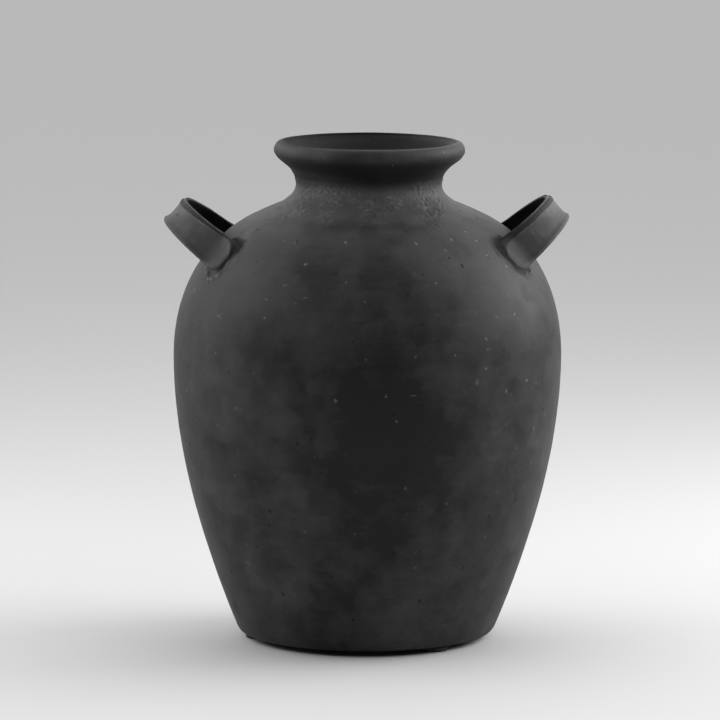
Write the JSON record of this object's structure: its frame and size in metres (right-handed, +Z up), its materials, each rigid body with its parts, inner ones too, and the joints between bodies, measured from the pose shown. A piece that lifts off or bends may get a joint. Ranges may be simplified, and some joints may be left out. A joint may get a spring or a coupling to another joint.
{
  "type": "clay storage pot",
  "caption": "Round-bellied black clay pot with a narrow neck, a rolled flaring lip and strap handles on the shoulder, standing on small stick-on rubber pads.",
  "frame": {"origin": "centre of the bounding box at its base, on the pot's axis, level with the soles of the rubber pads", "axes": "+Z up along the pot's axis; the handles stand out along +X and -X; the front faces -Y"},
  "size_m": [0.2468, 0.237, 0.305],
  "materials": {
    "black_clay": "unglazed clay fired black in smoke, matte with a soft satin where it was rubbed, lighter smoky patches, pits and fine scratches",
    "luting_clay": "the same black clay, smeared by finger and left rough",
    "pad_rubber": "smooth black rubber, slightly glossy",
    "pad_adhesive": "thin film of pressure-sensitive adhesive"
  },
  "bodies": {
    "root": {"base_disc": "black_clay", "lower_wall": "black_clay", "shoulder_wall": "black_clay", "neck_collar": "black_clay", "rim_lip": "black_clay", "handle_left": "black_clay", "handle_right": "black_clay", "luting_left_front": "luting_clay", "luting_left_back": "luting_clay", "luting_right_front": "luting_clay", "luting_right_back": "luting_clay", "pad_front": "pad_rubber", "pad_rear": "pad_rubber", "pad_left": "pad_rubber", "adhesive_front": "pad_adhesive", "adhesive_rear": "pad_adhesive", "adhesive_left": "pad_adhesive"}
  },
  "joints": []
}
